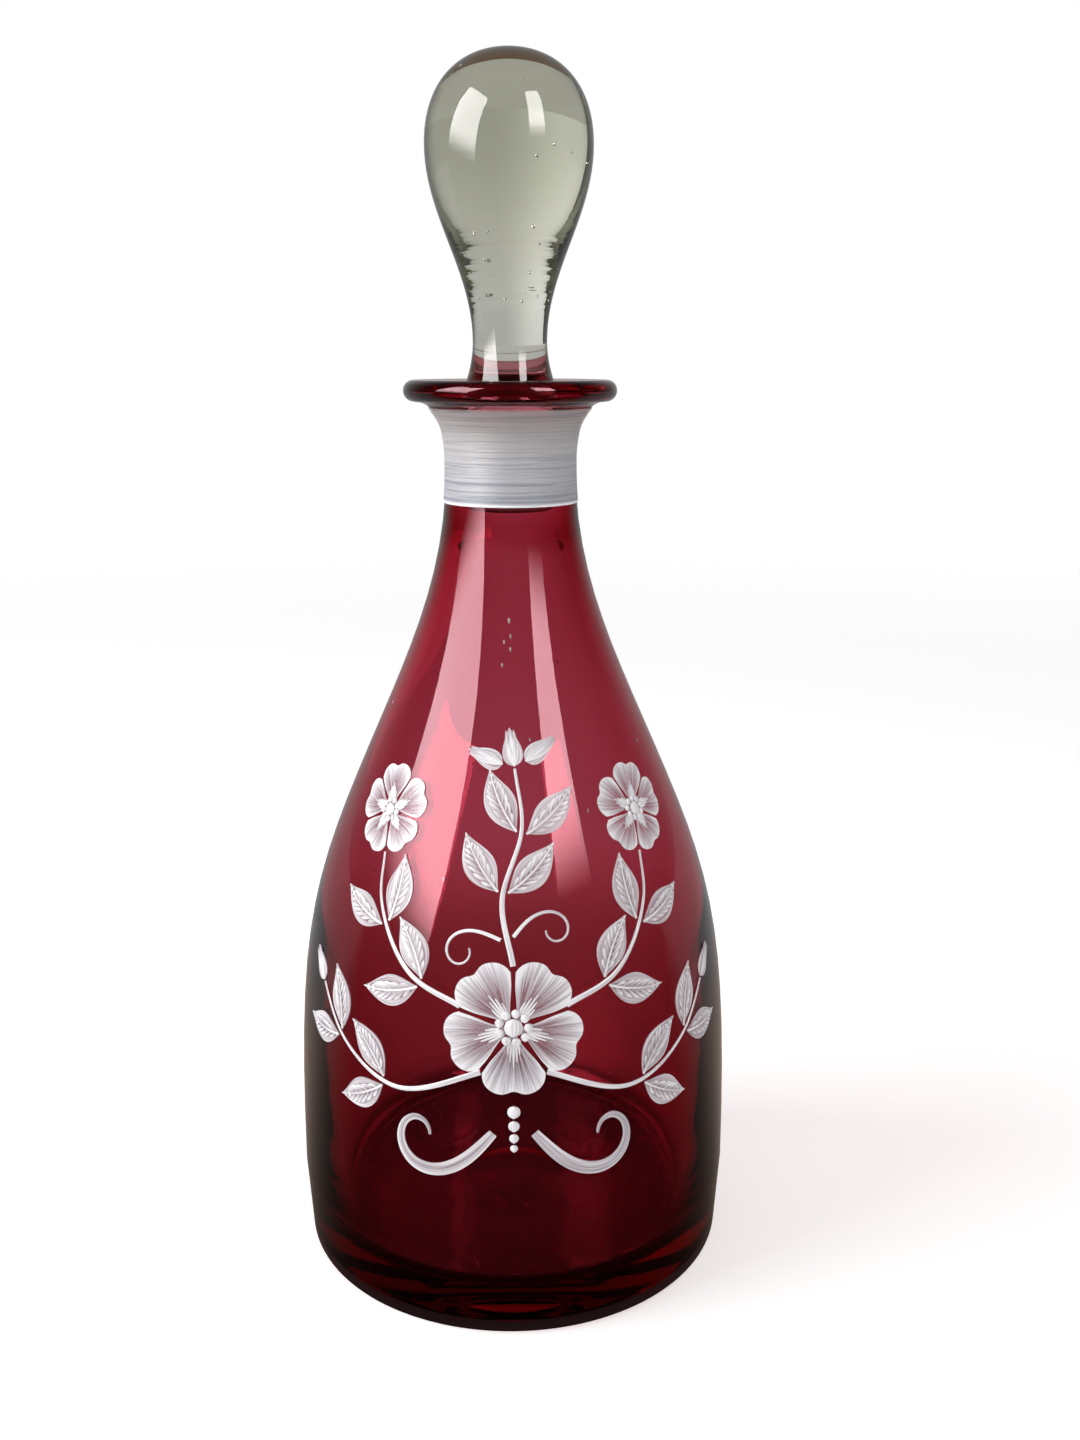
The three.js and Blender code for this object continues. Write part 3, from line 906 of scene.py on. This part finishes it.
# %% Leaves and buds
LEAF_LENGTH, LEAF_WIDTH = 13.5, 3.1
LEAF_LEAN, LEAF_BEND = 48, 24
BUD_LENGTH, BUD_WIDTH, BUD_LEAN = 7.8, 2.0, 62
STEM_WIDTH, SPACING = 0.55, 0.45
LEAF_STROKES = 8
SIDES = (("left", -1), ("right", 1))


def feathered(route, width, strokes):
    """A wash along a route, its rib, and short strokes from the rib to both of its edges."""
    outline = pointed(width)
    sheets = [
        ribbon(route, outline, lambda u, v: 0.34 + 0.3 * abs(2 * v - 1) ** 3 + 0.2 * u, 18, 8),
        ribbon(route, thinning(0.24), full, 14, 2, 0.12),
    ]
    for i in range(strokes):
        share = between(0.1, 0.86, i / (strokes - 1))
        root = route.at(share)
        for side in (-1, 1):
            way = turned_way(route.heading(share), root, 42 * side)
            reach = max(outline(min(share + 0.12, 1)) * 1.25, 0.9)
            curve = bent_route(root, way, reach, -26 * side)
            sheets.append(ribbon(
                curve, lambda u: 0.05 + 0.27 * math.sin(math.pi * u ** 1.6) ** 0.8,
                lambda u, v: 0.45 + 0.6 * u, 6, 2, 0.1,
            ))
    return sheets


def paint_leaves(name, stem, shares):
    clear = (STEM_WIDTH + SPACING) / math.sin(math.radians(LEAF_LEAN))
    for number, share in enumerate(shares):
        for side, turn in SIDES:
            root = stem.at(share)
            way = turned_way(stem.heading(share), root, -LEAF_LEAN * turn)
            route = bent_route(root + way * clear, way, LEAF_LENGTH, LEAF_BEND * turn)
            painted(f"{name}_leaf_{number + 1}_{side}", feathered(route, LEAF_WIDTH, LEAF_STROKES))


def paint_bud(name, stem, turn):
    tip = stem.at(1)
    way = turned_way(stem.heading(0.98), tip, turn)
    start = tip + way * (SPACING + 2.4 * abs(math.sin(math.radians(turn))))
    route = bent_route(start, way, BUD_LENGTH, 0)

    def outline(u):
        return BUD_WIDTH * math.sin(math.pi * u ** 0.6) + 0.04

    sheets = [ribbon(route, outline, lambda u, v: 0.45 + 0.4 * abs(2 * v - 1) ** 2, 14, 6)]
    for lean in (-16, 0, 16):
        line = bent_route(start, turned_way(way, start, lean), BUD_LENGTH - 0.4, -lean * 1.3)
        sheets.append(ribbon(
            line, lambda u: 0.1 + 0.42 * math.sin(math.pi * u ** 0.8),
            lambda u, v: 1.1 - 0.5 * u, 10, 2, 0.12,
        ))
    painted(name, sheets)


def paint_stem(name, stem):
    painted(name, [ribbon(stem, thinning(STEM_WIDTH), lambda u, v: 0.95 - 0.2 * u, 40, 3, 0, 0.15)])


# %% [markdown]
# ## Blossoms
#
# A petal is a broad stroke, pulled in from its notched rim to the eye, so it is dense outside and thin
# inside. Five more short strokes leave the eye on each petal, and the eye itself is a bead of enamel
# with a ring of small ones round it. Each petal is a fan of points, so that its rim can be notched.

# %% Blossoms
PETALS, STAMENS = 5, 9
PETAL_SPREAD = 33.5  # degrees to each side
EYE_SHARE = 0.2


def paint_blossom(name, centre, radius, first_way):
    eye = EYE_SHARE * radius
    sheets = []

    def petal(way):
        def place(u, v):
            sideways = 2 * v - 1
            notch = 0.07 * math.exp(-((sideways / 0.2) ** 2))
            rim = radius * (1 - 0.2 * abs(sideways) ** 4 - notch)
            lean = PETAL_SPREAD * (0.55 + 0.45 * math.sin(math.pi * min(u * 1.15 + 0.1, 1) / 2))
            ray = turned_way(way, centre, lean * sideways)
            return over_glass(centre + ray * between(eye * 0.6, rim, u), ENAMEL / 2 + 0.03)

        def petal_load(u, v):
            outside, edge, inside = max(u - 0.35, 0) ** 1.5 / 0.52, abs(2 * v - 1) ** 7, (1 - u) ** 4
            return 0.2 + 0.75 * outside + 0.5 * edge + 0.25 * inside

        return (place, petal_load, (radius, radius), (24, 24))

    for i in range(PETALS):
        way = turned_way(first_way, centre, 360 / PETALS * i)
        sheets.append(petal(way))
        for lean in (-15, -7, 0, 7, 15):
            ray = turned_way(way, centre, lean)
            long = radius * (0.58 - 0.012 * abs(lean))
            line = bent_route(centre + ray * eye, ray, long - eye, -lean * 0.7)
            sheets.append(ribbon(
                line, lambda u: 0.1 + 0.12 * math.sin(math.pi * u ** 0.7), full, 8, 2, 0.12,
            ))
    for i in range(STAMENS):
        ray = turned_way(first_way, centre, 360 / STAMENS * i + 11)
        sheets.append(bead(centre + ray * eye * 1.05, 0.055 * radius, 0.2))
    sheets.append(bead(centre, eye * 0.62, 0.25))
    painted(name, sheets)


def bead(centre, radius, rise=0.0):
    low, high = centre - UP * radius, centre + UP * radius
    return ribbon(Route([low, high]), round_ended(radius), full, 10, 6, rise, min(radius * 0.5, 0.4))


# %% [markdown]
# ## The whole spray
#
# A stem rises from the large blossom between two petals, and two more on each side carry a small
# blossom and a bud. Places on the glass are given in degrees round it and in millimetres above the
# middle of the large blossom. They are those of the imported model, so each piece covers its node.

# %% The whole spray
LARGE_RADIUS, SMALL_RADIUS = 14.0, 9.5
STEM_START = 0.85  # of the large blossom's radius
MIDDLE_RISE, HIGH_RISE, LOW_RISE = 48, 30, -15
HIGH_TURN, LOW_TURN = 72, 144
TENDRIL_START, TENDRIL_LEAN, TENDRIL_CLEAR, TENDRIL_LENGTH, TENDRIL_WIDTH = 0.12, 50, 1.76, 22, 0.35
SCROLL_ASIDE, SCROLL_RISE, SCROLL_LEAN, SCROLL_LENGTH, SCROLL_WIDTH = 5, -22, 140, 42, 1.4
CURL = 330
DOTS, DOT_RADIUS, DOT_SPACING = 4, 1.2, 3.4


def stem_through(turn, rise, places):
    middle = on_spray(0, 0)
    start = middle + turned_way(UP, middle, turn) * STEM_START * LARGE_RADIUS
    return flowing_route([start, *(on_spray(angle, share * rise) for angle, share in places)])


def paint_curl(name, start, way, length, turn, width):
    def outline(u):
        swell = 0.25 + 0.75 * math.sin(math.pi * (0.08 + 0.92 * u) ** 0.7)
        return width * swell * (1 - 0.15 * u)

    route = curled_route(start, way, length, turn)
    painted(name, [
        ribbon(route, outline, lambda u, v: 0.62 + 0.3 * (2 * v - 1) ** 2 - 0.15 * u, 48, 6),
    ])


paint_blossom("large_blossom", on_spray(0, 0), LARGE_RADIUS, -UP)
middle_stem = stem_through(0, MIDDLE_RISE, [(-3, 0.5), (3, 0.77), (1, 1)])
paint_stem("middle_stem", middle_stem)
paint_leaves("middle", middle_stem, (0.36, 0.66))
for bud, turn in (("left", BUD_LEAN), ("middle", 0), ("right", -BUD_LEAN)):
    paint_bud("top_bud_" + bud, middle_stem, turn)

for side, way in SIDES:
    root, heading = middle_stem.at(TENDRIL_START), middle_stem.heading(TENDRIL_START)
    aside = turned_way(heading, root, -way * TENDRIL_LEAN)
    tendril = curled_route(root + aside * TENDRIL_CLEAR, aside, TENDRIL_LENGTH, -way * CURL)
    painted("tendril_" + side, [
        ribbon(tendril, thinning(TENDRIL_WIDTH), lambda u, v: 1 - 0.4 * u, 40, 2, 0, 0.1),
    ])

    high_places = [(way * 28, 0.3), (way * 40, 0.7), (way * 43, 1)]
    high_stem = stem_through(-way * HIGH_TURN, HIGH_RISE, high_places)
    paint_stem("high_stem_" + side, high_stem)
    paint_leaves("high_" + side, high_stem, (0.24, 0.61))
    onward = high_stem.heading(0.98)
    small_centre = high_stem.at(1) + onward * (SMALL_RADIUS - 1)
    paint_blossom("small_blossom_" + side, small_centre, SMALL_RADIUS, onward)

    low_places = [(way * 30, 1), (way * 48, 0.6), (way * 59, 0)]
    low_stem = stem_through(-way * LOW_TURN, LOW_RISE, low_places)
    paint_stem("low_stem_" + side, low_stem)
    paint_leaves("low_" + side, low_stem, (0.45, 0.75))
    paint_bud("low_bud_" + side, low_stem, 0)

    scroll_start = on_spray(way * SCROLL_ASIDE, SCROLL_RISE)
    outwards = turned_way(UP, scroll_start, -way * SCROLL_LEAN)
    paint_curl("scroll_" + side, scroll_start, outwards, SCROLL_LENGTH, way * CURL, SCROLL_WIDTH)

for i in range(DOTS):
    drop = LARGE_RADIUS + DOT_SPACING * (i + 1) * (1 - 0.06 * i)
    painted(f"dot_{i + 1}", [bead(on_spray(0, -drop), DOT_RADIUS * (1 - 0.15 * i))])
strokes = [piece for piece in bpy.data.objects if piece.name.startswith("painted_")]
faces = sum(len(piece.data.polygons) for piece in strokes)
print(len(strokes), "painted pieces with", faces, "faces")

# %% [markdown]
# ## Brushed enamel of the band
#
# The brush left lines round the neck, and the coat thins out towards the top, where the ruby shows
# through it. Noise that is drawn out round the axis gives both the fine lines and the broad ones. The
# lower half is greyer, with stronger lines, and the wet enamel gathered in a bright line at its edge.

# %% Brushed enamel of the band
brushed, tree = new_material("brushed_enamel")
place = coordinates(tree, "Object")
height = (axes_of(place)[2] - BAND[0] * MM) / ((BAND[1] - BAND[0]) * MM)  # 0 to 1


def lines(drawn_out, scale, detail):
    """Noise drawn out round the neck into brush lines."""
    stretch = (drawn_out, drawn_out, 1.0)
    drawn = add_node(tree, "ShaderNodeMapping", None, {"Vector": place, "Scale": stretch})
    return noise(tree, drawn, scale, detail)


broad = spread(lines(0.02, 700.0, 1.0), 0.3, 0.7)
fine = spread(lines(0.012, 2600.0, 3.0), 0.42, 0.52)
lower_half = spread(height, 0.8, 0.2)
bright_edge = spread(height, 0.035, 0.015)
top_edge = spread(height, 0.6, 1.0)
thin = (0.06 + lower_half * 0.7) * (1 - fine) + (1 - broad) * (0.08 + lower_half * 0.2)
ground_coat = mixed(tree, lower_half, (0.475, 0.445, 0.44, 1), (0.425, 0.42, 0.445, 1))
colour = mixed(tree, thin.least(1.0), ground_coat, (0.27, 0.28, 0.33, 1))
colour = mixed(tree, bright_edge, colour, (0.85, 0.85, 0.87, 1))
relief = add_node(tree, "ShaderNodeBump", None, {
    "Strength": 0.6, "Distance": 0.2 * MM,
    "Height": (fine * 0.6 + broad * 0.4) * (0.4 + lower_half * 0.6),
})
finish_material(tree, principled(tree, {
    "Base Color": colour, "Roughness": 0.3 + fine * 0.15, "Normal": relief,
    "Alpha": 1 - top_edge * (0.45 + 0.2 * (1 - fine)),
}))
give(band, brushed)
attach(band, "bottle")
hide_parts("neck_band")
print("the band is", round(BAND[1] - BAND[0], 1), "mm tall")

# %% [markdown]
# ## The floor
#
# The decanter stands on a plain pale floor that takes its shadow. What the glass shows of the floor is
# set apart from what the camera sees of it: the foot hides the light close by, so for rays that come
# through glass the floor is dark and reddish there, and brighter further out.

# %% Floor
deselect_all()
bpy.ops.mesh.primitive_circle_add(vertices=96, radius=4, fill_type="NGON", location=(0, 0, 0))
floor = bpy.context.object
floor.name = "floor"
floor_paint, tree = new_material("floor")

camera_ray, glass_ray, mirror_ray = kinds_of_ray(tree)
place = coordinates(tree, "Object")
distance = add_node(tree, "ShaderNodeVectorMath", {"operation": "LENGTH"}, [place], "Value")
behind = axes_of(place)[1]

lit = add_node(tree, "ShaderNodeBsdfDiffuse", None, [(0.85, 0.85, 0.85, 1)])
glow = add_node(tree, "ShaderNodeEmission", None, [WHITE, camera_ray * 0.5])
near = add_node(tree, "ShaderNodeAddShader", None, [lit, glow])
shade = mixed(tree, ramp(distance, 0.12, 0.26, 0.0, 1.0) + camera_ray, (1.0, 0.78, 0.66, 1), WHITE)
through_glass = ramp(distance, 0.042, 0.073, 0.014, 0.32) + ramp(distance, 0.13, 0.24, 0.0, 0.22)
mirrored = ramp(behind, -0.045, 0.08, 0.015, 0.38)
far = add_node(tree, "ShaderNodeEmission", None, [
    shade, camera_ray + glass_ray * through_glass + mirror_ray * mirrored,
])
away = camera_ray * ramp(distance, 0.3, 1.2, 0, 1) + mirror_ray + glass_ray
finish_material(tree, add_node(tree, "ShaderNodeMixShader", None, [away, near, far]))
floor.data.materials.append(floor_paint)
print("the floor is", floor.dimensions.x, "m wide")

# %% [markdown]
# ## Soft lights and bright panes
#
# A tall soft light on either side lights the glass and the enamel. Polished glass shows the shape of
# what lights it, so each light has a bright pane near it, which only mirrored and glass rays meet. A
# pane fades out towards its foot, as the long highlights down the sides of the bottle do.

# %% Soft lights and bright panes
def stand(turn, distance, height, bottom):
    return Vector((math.sin(turn) * distance, -math.cos(turn) * distance, bottom + height / 2))


def soft_light(name, azimuth, distance, width, height, bottom, energy):
    place = stand(math.radians(azimuth), distance, height, bottom)
    bpy.ops.object.light_add(type="AREA", location=place)
    lamp = bpy.context.object
    lamp.name = name
    lamp.data.shape = "RECTANGLE"
    lamp.data.size, lamp.data.size_y = width, height
    lamp.data.energy = energy
    lamp.rotation_euler = (Vector((0, 0, place.z)) - place).to_track_quat("-Z", "Y").to_euler()
    lamp.visible_camera = lamp.visible_glossy = lamp.visible_transmission = False
    return lamp


pane, tree = new_material("bright_pane")
glow = ramp(axes_of(coordinates(tree, "UV"))[1], 0.0, 0.3, 0.0, 12.5)
finish_material(tree, add_node(tree, "ShaderNodeEmission", None, [(1, 0.98, 0.97, 1), glow]))


def bright_pane(name, azimuth, distance, width, height, bottom, leaning=0.0):
    """A glowing sheet that only mirrored and glass rays see."""
    turn = math.radians(azimuth)
    place = stand(turn, distance, height, bottom)
    deselect_all()
    bpy.ops.mesh.primitive_plane_add(size=1, location=place, rotation=(math.pi / 2, 0, turn))
    sheet = bpy.context.object
    sheet.name = name
    sheet.scale = (width, height, 1)
    sheet.rotation_euler.rotate_axis("Z", math.radians(leaning))
    sheet.visible_camera = sheet.visible_diffuse = sheet.visible_shadow = False
    sheet.data.materials.append(pane)
    return sheet


soft_light("left_light", -76, 0.9, 0.8, 1.1, 0.05, 13.6)
soft_light("right_light", 39, 0.9, 0.42, 1.1, 0.05, 4.7)
bright_pane("left_pane", -60, 0.88, 0.68, 1.0, 0.12, -17)
bright_pane("right_pane", 38, 0.88, 0.34, 0.85, 0.32)

# %% [markdown]
# ## Dark cards for the drop
#
# Glass is photographed with dark cards close to it, just outside the picture, because its edges take
# their dark line from them. Only rays that have passed through glass meet these two. The drop is a lens
# that turns the room over, so a brown ring below it gives it a dark cap, and a dark strip on its left
# gives it a dark right edge.

# %% Dark cards for the drop
def dark_card(card, name, colour):
    card.name = name
    card.visible_camera = card.visible_diffuse = card.visible_glossy = card.visible_shadow = False
    paint, tree = new_material(name)
    finish_material(tree, add_node(tree, "ShaderNodeEmission", None, [colour, 1.0]))
    card.data.materials.append(paint)


RING_CENTRE = (0, 0, 192.9 * MM)
RING_RADIUS = 30 * MM
RING_SPREAD = 3.5
RING_DROP = 10 * MM
STRIP_PLACE = (-60 * MM, 41 * MM, 248 * MM)
STRIP_SIZE = (34 * MM, 104 * MM)

deselect_all()
bpy.ops.mesh.primitive_circle_add(
    vertices=64, radius=RING_RADIUS, fill_type="NOTHING", location=RING_CENTRE,
)
bpy.ops.object.mode_set(mode="EDIT")
bpy.ops.mesh.extrude_edges_move()
bpy.ops.transform.resize(value=(RING_SPREAD, RING_SPREAD, 1), center_override=RING_CENTRE)
bpy.ops.transform.translate(value=(0, 0, -RING_DROP))
bpy.ops.object.mode_set(mode="OBJECT")
dark_card(bpy.context.object, "brown_ring", (0.18, 0.12, 0.09, 1))

deselect_all()
bpy.ops.mesh.primitive_plane_add(size=1, location=STRIP_PLACE, rotation=(0, math.pi / 2, 0))
bpy.ops.transform.resize(value=(1, *STRIP_SIZE))
dark_card(bpy.context.object, "dark_strip", (0.04, 0.03, 0.025, 1))
print("cards: a ring of", round(RING_RADIUS * RING_SPREAD / MM), "mm in radius and a strip of",
      [round(side / MM) for side in STRIP_SIZE], "mm")

# %% [markdown]
# ## The room
#
# The room is one white world. The camera sees it white, and the lamps do most of the lighting, so it
# lights the object only a little. Mirrored rays find it bright behind the bottle alone. Rays through
# the glass find it darker at the sides, in front and overhead, and a little brighter on the left.

# %% The room
world = bpy.data.worlds.new("room")
bpy.context.scene.world = world
world.use_nodes = True
tree = world.node_tree
tree.nodes.clear()
side, back, height = axes_of(coordinates(tree, "Generated"))

ROOM_LIGHT = 0.3
camera_ray, glass_ray, mirror_ray = kinds_of_ray(tree)
others = 1 - camera_ray - mirror_ray - glass_ray
through_glass = (
    ramp(back.most(back * -1), 0.1, 0.75, 0.25, 0.55) * ramp(back, -0.6, -0.1, 0.5, 1.0)
    * ramp(height, 0.0, 0.6, 0.95, 1.2) * ramp(height, 0.6, 0.9, 1.0, 0.15)
    * ramp(side, -0.5, 0.15, 1.5, 0.95)
)
strength = (
    camera_ray
    + mirror_ray * ramp(back, 0.2, 1.0, 0.03, 0.46)
    + glass_ray * through_glass
    + others * ROOM_LIGHT
)
background = add_node(tree, "ShaderNodeBackground", None, [WHITE, strength])
output = tree.nodes.new("ShaderNodeOutputWorld")
tree.links.new(background.socket, output.inputs["Surface"])
print("the room lights the glass and the enamel with a strength of", ROOM_LIGHT)

# %% [markdown]
# ## Depth of the light paths
#
# Light crosses many walls of this bottle, so its paths may turn often enough. Bright spots that glass
# throws on the floor are left out, because they take long to settle.

# %% Depth of the light paths
scene = bpy.context.scene
scene.view_settings.view_transform = "Standard"
scene.cycles.max_bounces = 32
scene.cycles.transmission_bounces = 32
scene.cycles.glossy_bounces = 8
scene.cycles.transparent_max_bounces = 32
scene.cycles.caustics_reflective = scene.cycles.caustics_refractive = False
